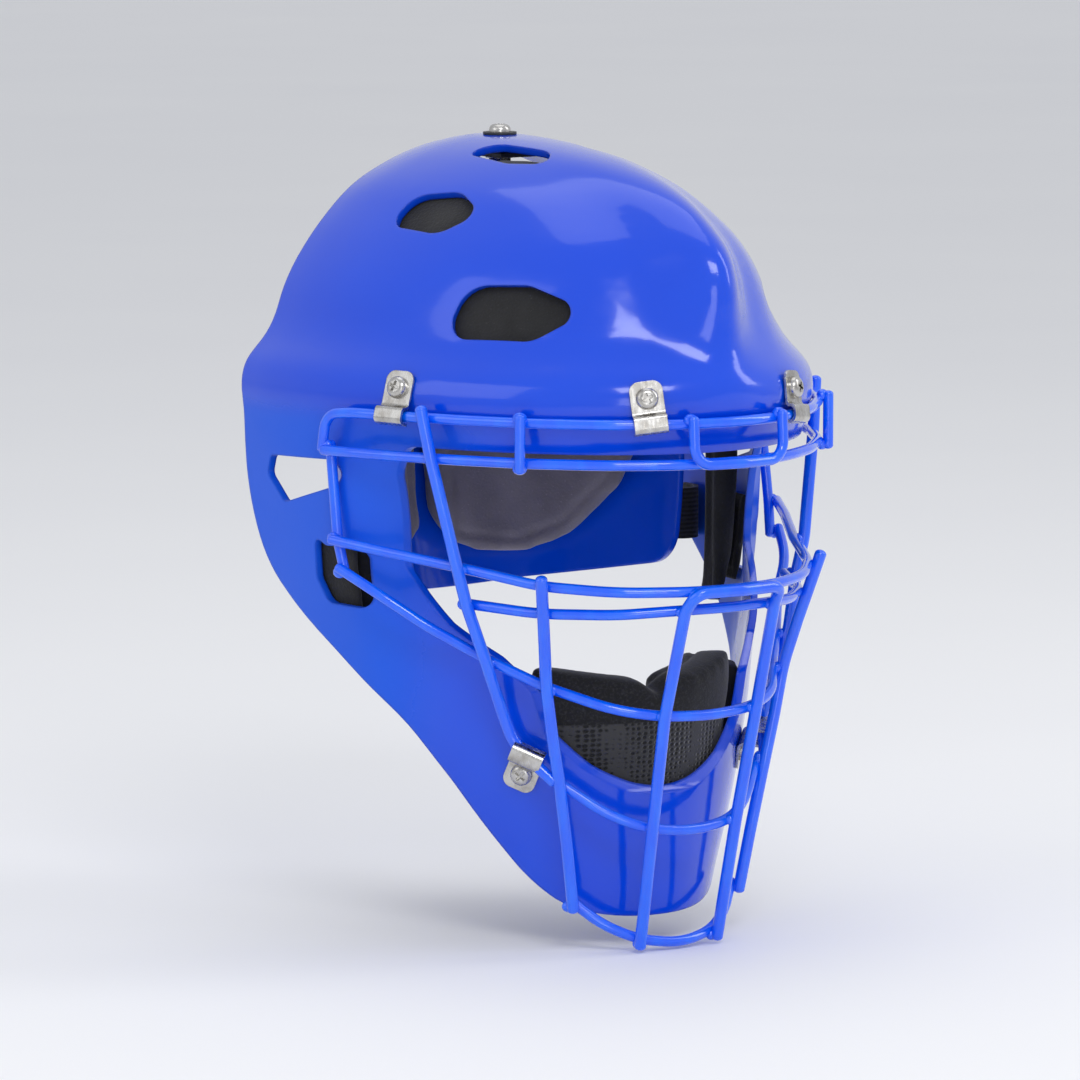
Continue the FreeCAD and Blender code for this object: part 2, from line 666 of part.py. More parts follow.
def crown_grommet():
    """A flanged bush that lines the crown hole."""
    body = doc.addObject("PartDesign::Body", "crown_grommet")
    flange = body.newObject("PartDesign::Pad", "grommet_rim")
    flange.Profile = ring_sketch(body, "grommet_edge", "XY_Plane", "sizes.crown_hole / 2 + 1.3")
    flange.setExpression("Length", "sizes.grommet_flange")
    doc.recompute()
    barrel = body.newObject("PartDesign::Pad", "grommet_barrel")
    barrel.Profile = ring_sketch(body, "grommet_side", "XY_Plane", "sizes.crown_hole / 2 - 0.4")
    barrel.Reversed = True
    barrel.setExpression("Length", "sizes.shell_wall")
    doc.recompute()
    bore = body.newObject("PartDesign::Pocket", "grommet_bore")
    bore.Profile = ring_sketch(body, "grommet_hole", "XY_Plane",
                               "sizes.screw_shank / 2 + sizes.hole_clearance")
    bore.Midplane = True
    bore.Length = 30.0
    doc.recompute()
    body.Placement = FreeCAD.Placement(CROWN_FOOT, FreeCAD.Rotation())
    return keep(body, "crown_grommet")


def ring_plate(label, outer, inner, height, base):
    """A flat ring about Z at the crown screw."""
    body = doc.addObject("PartDesign::Body", label)
    disc = body.newObject("PartDesign::Pad", label + "_disc")
    disc.Profile = ring_sketch(body, label + "_rim", "XY_Plane", outer)
    disc.setExpression("Length", height)
    doc.recompute()
    bore = body.newObject("PartDesign::Pocket", label + "_bore")
    bore.Profile = ring_sketch(body, label + "_hole", "XY_Plane", inner)
    bore.Midplane = True
    bore.Length = 30.0
    doc.recompute()
    body.Placement = FreeCAD.Placement(base, FreeCAD.Rotation())
    return keep(body, label)


def fasteners():
    """Screws and nuts of the six clips, and the stack under the crown screw."""
    screw, nut = pan_head_screw("screw_length"), hex_nut()
    feet = list(SEATS.values())
    nut_radius = size["nut_flats"] / math.sqrt(3.0)
    group("cage_screws", [standing(screw, seat.foot + seat.out * size["clip_wall"], seat.out)
                          for seat in feet])
    group("cage_nuts", [
        standing(nut, seat.foot - seat.out * (size["shell_wall"] + 1.2 * seat.hollow(nut_radius) + 0.1),
                 seat.out) for seat in feet])
    crown_grommet()
    up = V(0, 0, 1)
    long_screw = pan_head_screw("crown_screw_length")
    feature("crown_screw", standing(long_screw, CROWN_FOOT + up * size["grommet_flange"], up))
    spacer_base = size["shell_wall"] + size["tongue_drop"] - 0.15
    ring_plate("crown_spacer", "sizes.washer_width / 2", "sizes.screw_shank / 2 + 0.1",
               "sizes.tongue_drop - 0.3", CROWN_FOOT - up * spacer_base)
    below = size["shell_wall"] + size["tongue_drop"] + size["tongue_wall"] + 0.15
    washer_base = below + size["washer_wall"]
    ring_plate("crown_washer", "sizes.washer_width / 2", "sizes.screw_shank / 2 + 0.1",
               "sizes.washer_wall", CROWN_FOOT - up * washer_base)
    feature("crown_nut", standing(nut, CROWN_FOOT - up * washer_base, up))


def clips():
    """Each clip reaches from its screw to the nearest cage wire."""
    for side, name in ((-1, "right"), (1, "left")):
        for place, wire_point, wire, away, slack in (
                ("brow", (33.2, -116.2, 57.5), RING, 0.0, 0.5),
                ("temple", (94.2, -36.8, 57.5), RING, 0.0, 0.3),
                ("jaw", (53.0, -65.1, -70.4), POST, CROSSING, 0.6)):
            x, y, z = wire_point
            target = outward((side * x, y, z), away)
            cage_clip("%s_clip_%s" % (place, name), SEATS[place, name], target, wire, slack)


# ---------------------------------------------------------------- rear plate, tongue and straps

PLATE_FRONT = [(200, -60), (200, 200), (61, 200), (61, 143), (44, 118), (24, 72), (8, 34), (8, -14),
               (70, -25)]
REAR_PAD_OUTLINE = [(6, 98, 56), (6, 92, 4), (22, 86, -12), (44, 76, -14), (58, 60, -6),
                    (68, 42, 14), (72, 28, 40), (72, 28, 56)]


def adjuster_tongue():
    """The slotted strip under the crown screw that carries the rear plate."""
    top = CROWN_HEIGHT * STRETCH_Z - size["shell_wall"] - size["tongue_drop"]
    middle = top - size["tongue_wall"] / 2.0
    end_y, end_z = 60.2 * STRETCH_Y, 144.3 * STRETCH_Z
    path = [V(12.0 * STRETCH_Y, middle, 0), V(45.0 * STRETCH_Y, middle, 0), V(end_y, end_z, 0)]
    body = doc.addObject("PartDesign::Body", "adjuster_tongue")
    strip = body.newObject("PartDesign::Pad", "tongue_strip")
    outline = sketch_curves(strip_outline(path, size["tongue_wall"], 30.0))
    strip.Profile = flat_sketch(body, "tongue_side", "XY_Plane", outline)
    strip.Midplane = True
    strip.setExpression("Length", "sizes.tongue_width")
    doc.recompute()
    half = size["screw_shank"] / 2.0 + size["hole_clearance"]
    low, high = 17.0 * STRETCH_Y, 41.0 * STRETCH_Y
    slot = body.newObject("PartDesign::Pocket", "tongue_slot")
    ends = [Part.ArcOfCircle(Part.Circle(V(low, 0, 0), V(0, 0, 1), half), math.pi / 2, 3 * math.pi / 2),
            Part.LineSegment(V(low, -half, 0), V(high, -half, 0)),
            Part.ArcOfCircle(Part.Circle(V(high, 0, 0), V(0, 0, 1), half), -math.pi / 2, math.pi / 2),
            Part.LineSegment(V(high, half, 0), V(low, half, 0))]
    slot.Profile = flat_sketch(body, "tongue_opening", "XZ_Plane", ends)
    slot.Type = "ThroughAll"
    slot.Midplane = True
    doc.recompute()
    body.Placement = frame_at(V(0, 0, 0), V(0, 1, 0), V(0, 0, 1))
    return keep(body, "adjuster_tongue")


def rear_plate():
    """The curved plate behind the head, its front edge cut back from the cheeks."""
    solid = PLATE.block(70, 290, -29.9, 145.4, 0.0, size["plate_wall"], 41, 25)
    keep_region = side_prism(PLATE_FRONT, 14.0, -150, 150)
    return feature("rear_plate", max(solid.common(keep_region).Solids, key=lambda piece: piece.Volume))


def rear_pads():
    """Two D-shaped foam pads inside the plate."""
    near = size["plate_wall"] + size["pad_gap"]
    block = PLATE.block(104, 178, -20, 70, near, near + size["rear_pad_depth"])
    pad = block.common(skin_prism(REAR_PAD_OUTLINE, 16.0, 60.0))
    pad = max(pad.Solids, key=lambda piece: piece.Volume)
    feature("rear_pad_left", pad)
    feature("rear_pad_right", mirrored(pad))


STRAP_RUN = [(76.2, 44), (77.2, 32), (82.5, 22.8), (89.5, 22.8), (94.2, 29), (94.9, 38)]
STRAP_HEIGHT = 2.0


def straps():
    """Elastic webbing from the plate's sides to the side panels, and its rivets."""
    low = STRAP_HEIGHT * STRETCH_Z - size["strap_width"] / 2.0
    path = [at(x, y, 0) for x, y in STRAP_RUN]
    face = Part.Face(Part.Wire(strip_outline(path, size["strap_wall"], 9.0)))
    face.translate(V(0, 0, low))
    ribbon = face.extrude(V(0, 0, size["strap_width"]))
    feature("elastic_strap_left", ribbon)
    feature("elastic_strap_right", mirrored(ribbon))


# ---------------------------------------------------------------- pads

LINER = Skin([station[:5] + (0.0,) + station[6:] for station in SHELL.stations])


def pads():
    near = size["shell_wall"] + size["pad_gap"]
    deep = near + size["crown_pad_depth"]
    feature("forehead_pad", LINER.block(-44, 44, 77, 112, near, deep, 25, 9))
    ear_wall = 4.0
    inner = near + ear_wall + size["pad_gap"]
    cheek_face = 96.0 * STRETCH_X - size["cheek_pad_depth"]
    for label, block in (
            ("temple_pad", LINER.block(48, 84, 80, 112, near, deep)),
            ("crown_pad", LINER.block(10, 82, 115, 152, near, deep)),
            ("ear_pad", LINER.block(61, 76, -24, 14, near + 0.3, near + ear_wall)),
            ("cheek_pad", LINER.block(61, 71, -34, 38, inner, 0.0, flat_x=cheek_face)),
            ("jaw_pad", LINER.block(38, 50, -80, -48, near, near + size["jaw_pad_depth"]))):
        feature(label + "_left", block)
        feature(label + "_right", mirrored(block))
    chin = LINER.block(-29, 29, -93, -46, near + 1.5, near + size["chin_pad_depth"], 21, 9)
    feature("chin_cushion", chin)


def check_document():
    """Stops when any object failed or any sub-part is empty or invalid."""
    doc.recompute()
    for obj in doc.Objects:
        if "Invalid" in obj.State or "Error" in obj.State:
            raise RuntimeError("%s failed: %s" % (obj.Label, obj.State))
    for obj in parts:
        if obj.Shape.isNull() or not obj.Shape.isValid():
            raise RuntimeError("%s has no valid shape" % obj.Label)


front_shell()
cage()
clips()
fasteners()
adjuster_tongue()
rear_plate()
rear_pads()
straps()
pads()
check_document()

os.makedirs("parts", exist_ok=True)
for obj in parts:
    obj.Shape.exportStep("parts/%s.step" % obj.Label)
    print("%-22s %9.0f mm3" % (obj.Label, obj.Shape.Volume))
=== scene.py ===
import json
import math

import bmesh
import bpy
import numpy as np
from mathutils import Matrix, Vector
from mathutils.kdtree import KDTree


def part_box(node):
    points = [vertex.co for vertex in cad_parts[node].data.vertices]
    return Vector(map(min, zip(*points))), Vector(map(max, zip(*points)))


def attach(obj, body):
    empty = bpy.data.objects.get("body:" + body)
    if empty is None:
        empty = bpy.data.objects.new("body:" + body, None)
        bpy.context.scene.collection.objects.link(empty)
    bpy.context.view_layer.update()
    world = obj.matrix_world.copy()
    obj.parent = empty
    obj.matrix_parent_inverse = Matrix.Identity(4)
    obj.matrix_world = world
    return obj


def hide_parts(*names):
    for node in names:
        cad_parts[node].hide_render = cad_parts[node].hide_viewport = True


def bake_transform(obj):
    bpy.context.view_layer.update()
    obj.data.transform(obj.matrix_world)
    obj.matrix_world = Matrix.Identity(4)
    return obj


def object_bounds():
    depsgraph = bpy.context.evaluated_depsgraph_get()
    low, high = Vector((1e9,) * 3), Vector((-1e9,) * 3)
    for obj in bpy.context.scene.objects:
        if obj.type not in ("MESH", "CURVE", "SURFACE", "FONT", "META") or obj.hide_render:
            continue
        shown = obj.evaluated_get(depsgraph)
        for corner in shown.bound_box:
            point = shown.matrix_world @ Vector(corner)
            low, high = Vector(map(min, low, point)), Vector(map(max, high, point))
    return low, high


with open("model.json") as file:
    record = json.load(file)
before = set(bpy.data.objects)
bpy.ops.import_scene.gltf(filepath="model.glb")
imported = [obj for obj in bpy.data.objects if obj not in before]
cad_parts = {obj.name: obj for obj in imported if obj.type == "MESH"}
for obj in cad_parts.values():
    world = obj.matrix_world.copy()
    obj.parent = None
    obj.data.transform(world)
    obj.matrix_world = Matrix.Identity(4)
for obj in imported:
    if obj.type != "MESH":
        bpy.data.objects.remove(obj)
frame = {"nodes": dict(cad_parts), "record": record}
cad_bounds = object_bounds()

NODES = frame["nodes"]
MM = 0.001

CHIN_SEAM = -60.5 * MM              # height of the seam between jersey and mesh
SIDE_BLUE_PAINTED_LIGHT = (0.004, 0.105, 0.72)    # painted light: a lighter blue for the light on the shell's flat satin side panels
SIDE_STARTS, SIDE_FULL = 0.066, 0.086    # distance out from the middle plane
SIDE_TOP, SIDE_TOP_FULL = 0.062, 0.05    # heights where the satin side panel and its painted light begin and are complete
HEAD = (0.0, 0.0, 0.03)             # what most pads face
CLOTH_FRAMES = 20
POST_RADIUS, RAIL_RADIUS = 2.3 * MM, 2.0 * MM


# ---------------------------------------------------------------- materials

class Shader:
    """A node tree that is filled from its end, the Principled shader."""

    def __init__(self, name):
        self.material = bpy.data.materials.new(name)
        self.material.use_nodes = True
        self.tree = self.material.node_tree
        self.surface = next(n for n in self.tree.nodes if n.type == "BSDF_PRINCIPLED")
        self.place = self.add("ShaderNodeTexCoord").outputs["Object"]

    def add(self, kind, **values):
        node = self.tree.nodes.new(kind)
        for key, value in values.items():
            setattr(node, key, value)
        return node

    def link(self, value, socket):
        if isinstance(value, bpy.types.NodeSocket):
            self.tree.links.new(value, socket)
        else:
            socket.default_value = value

    def set(self, **values):
        for key, value in values.items():
            self.link(value, self.surface.inputs[key.replace("_", " ")])

    def math(self, operation, first, second=0.0, third=0.0):
        node = self.add("ShaderNodeMath", operation=operation)
        for socket, value in zip(node.inputs, (first, second, third)):
            self.link(value, socket)
        return node.outputs[0]

    def axis(self, index):
        split = self.add("ShaderNodeSeparateXYZ")
        self.link(self.place, split.inputs[0])
        return split.outputs[index]

    def stretched(self, stretch):
        if stretch is None:
            return self.place
        mapping = self.add("ShaderNodeMapping")
        self.link(self.place, mapping.inputs[0])
        mapping.inputs["Scale"].default_value = stretch
        return mapping.outputs[0]

    def noise(self, scale, detail=2.0, stretch=None, rough=0.5):
        node = self.add("ShaderNodeTexNoise")
        self.link(self.stretched(stretch), node.inputs["Vector"])
        node.inputs["Scale"].default_value = scale
        node.inputs["Detail"].default_value = detail
        node.inputs["Roughness"].default_value = rough
        return node.outputs[0]

    def cells(self, scale, stretch=None, randomness=1.0):
        node = self.add("ShaderNodeTexVoronoi", feature="F1")
        self.link(self.stretched(stretch), node.inputs["Vector"])
        node.inputs["Scale"].default_value = scale
        node.inputs["Randomness"].default_value = randomness
        return node.outputs["Distance"]

    def ramp(self, value, low, high, out_low=0.0, out_high=1.0):
        node = self.add("ShaderNodeMapRange", interpolation_type="SMOOTHSTEP")
        for socket, item in zip(node.inputs, (value, low, high, out_low, out_high)):
            self.link(item, socket)
        return node.outputs[0]

    def mix(self, factor, first, second):
        node = self.add("ShaderNodeMix", data_type="RGBA")
        self.link(factor, node.inputs[0])
        for socket, colour in ((node.inputs[6], first), (node.inputs[7], second)):
            is_socket = isinstance(colour, bpy.types.NodeSocket)
            self.link(colour if is_socket else (*colour, 1.0), socket)
        return node.outputs[2]

    def bump(self, height, strength, distance, normal=None):
        node = self.add("ShaderNodeBump")
        self.link(height, node.inputs["Height"])
        self.link(strength, node.inputs["Strength"])
        node.inputs["Distance"].default_value = distance
        if normal is not None:
            self.link(normal, node.inputs["Normal"])
        return node.outputs[0]

    def soft_edge(self, radius):
        node = self.add("ShaderNodeBevel", samples=6)
        node.inputs["Radius"].default_value = radius
        return node.outputs[0]


def moulded_blue(name, deep, pale, satin_sides_and_painted_light):
    """Gloss moulded plastic, going to a fine satin grain on the flat side panels, where a lighter
    blue is painted in as painted light.
    """
    shade = Shader(name)
    tint = shade.noise(9.0, 3.0)
    colour = shade.mix(shade.ramp(tint, 0.35, 0.7, 0.0, 0.45), deep, pale)
    edge = shade.soft_edge(1.6 * MM)
    grain = shade.noise(1500.0, 2.0)
    wave = shade.noise(55.0, 1.0)
    if satin_sides_and_painted_light:
        out = shade.math("ABSOLUTE", shade.axis(0))
        side = shade.math("MULTIPLY", shade.ramp(out, SIDE_STARTS, SIDE_FULL),
                          shade.ramp(shade.axis(2), SIDE_TOP, SIDE_TOP_FULL))
        # painted light: the side panels are mixed to a lighter blue for the light falling on them;
        # the roughness, coat and grain below are the real satin
        colour = shade.mix(shade.math("MULTIPLY", side, 0.75), colour, SIDE_BLUE_PAINTED_LIGHT)
        rough = shade.ramp(side, 0.0, 1.0, 0.17, 0.36)
        coat = shade.ramp(side, 0.0, 1.0, 0.55, 0.12)
        strength = shade.ramp(side, 0.0, 1.0, 0.02, 0.16)
    else:
        rough, coat, strength = shade.ramp(tint, 0.3, 0.7, 0.14, 0.2), 0.6, 0.02
    rough = shade.math("ADD", rough, shade.ramp(shade.noise(140.0, 4.0), 0.3, 0.8, -0.02, 0.04))
    normal = shade.bump(grain, strength, 0.2 * MM, edge)
    normal = shade.bump(wave, 0.05, 0.3 * MM, normal)
    shade.set(Base_Color=colour, Roughness=rough, Coat_Weight=coat, Coat_Roughness=0.07,
              Normal=normal, Specular_IOR_Level=0.32)
    return shade.material


def dipped_blue():
    """Thick glossy coating on steel wire, with slow runs along it."""
    shade = Shader("dipped wire")
    runs = shade.noise(160.0, 2.0, (1.0, 1.0, 0.35))
    colour = shade.mix(shade.ramp(runs, 0.3, 0.75, 0.0, 0.5), (0.0, 0.10, 0.90), (0.0, 0.17, 0.98))
    normal = shade.bump(runs, 0.22, 0.5 * MM, shade.soft_edge(0.5 * MM))
    shade.set(Base_Color=colour, Roughness=shade.ramp(shade.noise(70.0), 0.3, 0.7, 0.12, 0.24),
              Coat_Weight=0.8, Coat_Roughness=0.05, Normal=normal)
    return shade.material


def nickel(name, brushed):
    """Bright plated steel with a fine drawn grain."""
    shade = Shader(name)
    drawn = shade.noise(900.0, 3.0, (1.0, 1.0, 0.06) if brushed else None)
    stain = shade.noise(260.0, 3.0)
    colour = shade.mix(shade.ramp(stain, 0.35, 0.75), (0.58, 0.57, 0.55), (0.40, 0.38, 0.35))
    normal = shade.bump(drawn, 0.18, 0.08 * MM, shade.soft_edge(0.35 * MM))
    shade.set(Base_Color=colour, Metallic=1.0, Roughness=shade.ramp(drawn, 0.3, 0.7, 0.16, 0.34),
              Normal=normal)
    return shade.material


def black_plastic():
    shade = Shader("black plastic")
    spark = shade.noise(1200.0, 2.0)
    colour = shade.mix(spark, (0.012, 0.012, 0.013), (0.028, 0.028, 0.03))
    shade.set(Base_Color=colour, Roughness=shade.ramp(shade.noise(90.0), 0.3, 0.7, 0.38, 0.55),
              Normal=shade.bump(spark, 0.2, 0.15 * MM, shade.soft_edge(0.5 * MM)))
    return shade.material


def speckled_foam(name, dark, light, speck, fuzz):
    """Closed-cell foam under a brushed knit: small cells, pale specks and a soft nap."""
    shade = Shader(name)
    cell = shade.cells(760.0)
    fleck = shade.noise(1150.0, 3.0, None, 0.7)
    cloud = shade.noise(38.0, 3.0)
    colour = shade.mix(shade.ramp(cloud, 0.3, 0.75), dark, light)
    colour = shade.mix(shade.ramp(fleck, 0.6, 0.74, 0.0, 0.6), colour, speck)
    height = shade.math("ADD", shade.math("MULTIPLY", cell, 0.7), fleck)
    shade.set(Base_Color=colour, Roughness=shade.ramp(fleck, 0.3, 0.7, 0.82, 0.96),
              Sheen_Weight=fuzz, Sheen_Roughness=0.45, Specular_IOR_Level=0.25,
              Normal=shade.bump(height, 0.5, 0.35 * MM))
    return shade.material


def chin_cover():
    """Brushed jersey on top and open spacer mesh over the front of the cushion."""
    shade = Shader("chin cover")
    wave = shade.noise(1000.0, 3.0, None, 0.7)
    front = shade.ramp(shade.axis(2), CHIN_SEAM + 0.4 * MM, CHIN_SEAM - 0.4 * MM)
    pore = shade.ramp(shade.cells(400.0, (1.0, 0.35, 1.35), 0.25), 0.22, 0.5)
    top = shade.mix(shade.ramp(wave, 0.45, 0.75), (0.010, 0.010, 0.011), (0.030, 0.030, 0.032))
    # painted shade: the mesh is darker in its recessed pore centres, the open holes, and lighter
    # on its raised threads
    mesh = shade.mix(pore, (0.003, 0.003, 0.003), (0.035, 0.035, 0.037))
    height = shade.math("ADD", shade.math("MULTIPLY", wave, 0.25),
                        shade.math("MULTIPLY", shade.math("MULTIPLY", pore, front), 1.6))
    shade.set(Base_Color=shade.mix(front, top, mesh),
              Roughness=shade.ramp(front, 0.0, 1.0, 0.92, 0.62), Sheen_Weight=0.25,
              Sheen_Roughness=0.4, Specular_IOR_Level=0.3,
              Normal=shade.bump(height, 0.7, 0.7 * MM))
    return shade.material


def elastic():
    """Ribbed black elastic, its ribs along the strap."""
    shade = Shader("elastic")
    ribs = shade.math("SINE", shade.math("MULTIPLY", shade.axis(2), 2.0 * math.pi / (1.7 * MM)))
    yarn = shade.noise(1400.0, 2.0, (0.4, 0.4, 1.0))
    # painted shade: darker in the troughs between the ribs and lighter on their crests
    colour = shade.mix(shade.ramp(ribs, -0.6, 0.8), (0.005, 0.005, 0.005), (0.022, 0.022, 0.024))
    height = shade.math("ADD", shade.math("MULTIPLY", ribs, 0.5), yarn)
    shade.set(Base_Color=colour, Roughness=shade.ramp(yarn, 0.3, 0.7, 0.7, 0.9), Sheen_Weight=0.2,
              Normal=shade.bump(height, 0.6, 0.4 * MM))
    return shade.material


MATERIALS = {
    "shell_blue": moulded_blue("shell plastic", (0.0, 0.058, 0.66), (0.0, 0.078, 0.76), True),
    "plate_blue": moulded_blue("plate plastic", (0.0, 0.080, 0.80), (0.0, 0.11, 0.90), False),
    "cage_blue": dipped_blue(),
    "clip_steel": nickel("clip steel", True),
    "screw_steel": nickel("screw steel", False),
    "black_plastic": black_plastic(),
    "elastic_black": elastic(),
    "foam_grey": speckled_foam("grey foam", (0.190, 0.174, 0.205), (0.260, 0.240, 0.278),
                               (0.42, 0.40, 0.44), 0.35),
    "foam_black": speckled_foam("black foam", (0.013, 0.013, 0.0135), (0.026, 0.026, 0.027),
                                (0.075, 0.075, 0.078), 0.2),
    "chin_fabric": chin_cover(),
}
SLOT_OF = {entry["node"]: entry["material_slot"] for entry in frame["record"]["subparts"]}
for label, node in NODES.items():
    node.data.materials.clear()
    node.data.materials.append(MATERIALS[SLOT_OF[label]])


# ---------------------------------------------------------------- pads

def smooth(mesh):
    for face in mesh.polygons:
        face.use_smooth = True


def mesh_object(name, mesh, slot_name):
    obj = bpy.data.objects.new(name, mesh)
    bpy.context.scene.collection.objects.link(obj)
    mesh.materials.clear()
    mesh.materials.append(MATERIALS[slot_name])
    smooth(mesh)
    return obj


def evaluated(obj):
    """The object's mesh with its modifiers applied."""
    graph = bpy.context.evaluated_depsgraph_get()
    return bpy.data.meshes.new_from_object(obj.evaluated_get(graph), depsgraph=graph)


def coords(mesh):
    found = np.empty(len(mesh.vertices) * 3)
    mesh.vertices.foreach_get("co", found)
    return found.reshape(-1, 3)


def normals(mesh):
    found = np.empty(len(mesh.vertices) * 3)
    mesh.vertex_normals.foreach_get("vector", found)
    return found.reshape(-1, 3)


def put(mesh, points):
    mesh.vertices.foreach_set("co", points.ravel())
    mesh.update()


def remeshed(name, source, voxel):
    """A copy of a CAD node, rebuilt in even faces."""
    obj = mesh_object(name, source.data.copy(), SLOT_OF[source.name])
    modifier = obj.modifiers.new("Remesh", "REMESH")
    modifier.mode = "VOXEL"
    modifier.voxel_size = voxel
    mesh = evaluated(obj)
    obj.modifiers.clear()
    obj.data = mesh
    smooth(mesh)
    return obj


def relax(mesh, rounds):
    """Softens the mesh's steps and edges."""
    grid = bmesh.new()
    grid.from_mesh(mesh)
    for _ in range(rounds):
        bmesh.ops.smooth_vert(grid, verts=grid.verts, factor=0.5, use_axis_x=True,
                              use_axis_y=True, use_axis_z=True)
    grid.to_mesh(mesh)
    grid.free()


def facing(points, directions, focus):
    """1 where a surface looks at the focus, 0 at its back."""
    toward = np.array(focus) - points
    toward /= np.linalg.norm(toward, axis=1)[:, None]
    look = (directions * toward).sum(axis=1)
    share = np.clip((look + 0.1) / 0.7, 0.0, 1.0)
    return share * share * (3.0 - 2.0 * share)


def rim_points(source, focus):
    """Points along the sharp edges around the face of a pad that looks at the head."""
    grid = bmesh.new()
    grid.from_mesh(source.data)
    bmesh.ops.remove_doubles(grid, verts=grid.verts, dist=1e-6)
    found = []
    middle = Vector(focus)
    sharp = math.radians(35.0)
    for edge in grid.edges:
        if len(edge.link_faces) != 2 or edge.calc_face_angle(0.0) < sharp:
            continue
        centre = (edge.verts[0].co + edge.verts[1].co) / 2.0
        toward = (middle - centre).normalized()
        if max(face.normal.dot(toward) for face in edge.link_faces) < 0.45:
            continue
        steps = max(1, int(edge.calc_length() / (1.5 * MM)))
        for step in range(steps + 1):
            found.append(edge.verts[0].co.lerp(edge.verts[1].co, step / steps))
    grid.free()
    tree = KDTree(len(found))
    for index, point in enumerate(found):
        tree.insert(point, index)
    tree.balance()
    return tree


def swell(obj, pressure, cap, share):
    """Cloth filled by pressure, with its movement capped and held back where share is small."""
    rest = coords(obj.data)
    cloth = obj.modifiers.new("Cloth", "CLOTH")
    settings = cloth.settings
    settings.quality = 5
    settings.mass = 0.15
    settings.tension_stiffness = settings.compression_stiffness = 12.0
    settings.bending_stiffness = 0.5
    settings.use_pressure = True
    settings.uniform_pressure_force = pressure
    settings.effector_weights.gravity = 0.0
    cloth.point_cache.frame_start, cloth.point_cache.frame_end = 1, CLOTH_FRAMES
    for number in range(1, CLOTH_FRAMES + 1):
        bpy.context.scene.frame_set(number)
    moved = coords(evaluated(obj)) - rest
    obj.modifiers.clear()
    bpy.context.scene.frame_set(1)
    length = np.linalg.norm(moved, axis=1)
    limit = cap * (0.12 + 0.88 * share)
    moved *= (np.minimum(length, limit) / np.maximum(length, 1e-9))[:, None]
    put(obj.data, rest + moved)


def foam_pad(label, focus, voxel, pressure, cap, seam, depth, body, shape=None):
    """A crowned pad with a pressed seam a little way inside its edge, and its mirrored twin."""
    source = NODES[label]
    rim = rim_points(source, focus)
    obj = remeshed(label.replace("_left", "") + "_foam", source, voxel)
    relax(obj.data, 3)
    points = coords(obj.data)
    put(obj.data, points - normals(obj.data) * 0.5 * MM)
    share = facing(coords(obj.data), normals(obj.data), focus)
    swell(obj, pressure, cap, share)
    relax(obj.data, 2)
    if shape:
        put(obj.data, shape(coords(obj.data), share))
    subdivide = obj.modifiers.new("Subdivision", "SUBSURF")
    subdivide.levels = subdivide.render_levels = 1
    obj.data = evaluated(obj)
    obj.modifiers.clear()
    points, directions = coords(obj.data), normals(obj.data)
    share = facing(points, directions, focus)
    away = np.array([rim.find(Vector(point))[2] for point in points])
    line = np.exp(-((away - seam) / (1.3 * MM)) ** 2)
    roll = np.exp(-((away - 0.45 * seam) / (0.4 * seam)) ** 2)
    points += directions * ((0.25 * depth * roll - depth * line) * share)[:, None]
    put(obj.data, points)
    place_pad(obj, label, body)
    if label.endswith("_left"):
        twin = mesh_object(obj.name + "_right", obj.data.copy(), SLOT_OF[label])
        put(twin.data, coords(twin.data) * np.array((-1.0, 1.0, 1.0)))
        twin.data.flip_normals()
        place_pad(twin, label.replace("_left", "_right"), body)


def place_pad(obj, label, body):
    smooth(obj.data)
    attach(obj, body)
    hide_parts(label)


def chin_shape(points, share):
    """Two lobes that rise beside a fold on the centre line, over a pressed seam."""
    fold_width, lobe_rise, fold_drop, fold_inset = 5.0 * MM, 10.0 * MM, 6.0 * MM, 4.0 * MM
    seam_width, seam_depth = 1.4 * MM, 1.1 * MM
    low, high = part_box("chin_cushion")
    height = np.clip((points[:, 2] - low[2]) / (high[2] - low[2]), 0.0, 1.0)
    across = points[:, 0] / (0.5 * (high[0] - low[0]))
    fold = np.exp(-(points[:, 0] / fold_width) ** 2)
    lift = lobe_rise * np.abs(across) ** 1.5 - fold_drop * fold
    changed = points.copy()
    changed[:, 2] += lift * height ** 2
    changed[:, 1] -= fold_inset * fold * share * height
    seam = np.exp(-((changed[:, 2] - CHIN_SEAM) / seam_width) ** 2)
    inward = -changed * np.array((1.0, 1.0, 0.0)) + np.array((0.0, -0.045, 0.0))
    inward /= np.maximum(np.linalg.norm(inward, axis=1), 1e-6)[:, None]
    return changed + inward * (seam_depth * seam)[:, None]


# node, focus, pressure; voxel, cap on swelling, seam from the edge and seam depth in mm; body
PADS = (
    ("forehead_pad", HEAD, 2.5, 4, 2.5, 7, 1.2, "shell"),
    ("temple_pad_left", HEAD, 2.5, 4, 2.5, 6, 1.2, "shell"),
    ("crown_pad_left", HEAD, 2.5, 4, 2.5, 7, 1.2, "shell"),
    ("ear_pad_left", HEAD, 2.0, 2.5, 1.0, 5, 0.5, "shell"),
    ("cheek_pad_left", (0.0, 0.0, 0.0), 2.5, 3, 2.5, 6, 1.0, "shell"),
    ("jaw_pad_left", (0.0, 0.0, -0.06), 2.5, 3, 2.0, 5, 1.0, "shell"),
    ("chin_cushion", (0.0, 0.0, -0.03), 4.0, 3.5, 5.0, 8, 1.4, "shell"),
    ("rear_pad_left", (0.0, 0.0, 0.02), 3.0, 3.5, 3.0, 8, 1.3, "plate"),
)
SHAPES = {"chin_cushion": chin_shape}
for label, focus, pressure, voxel, cap, seam, depth, body in PADS:
    foam_pad(label, focus, voxel * MM, pressure, cap * MM, seam * MM, depth * MM, body,
             SHAPES.get(label))


# ---------------------------------------------------------------- welds

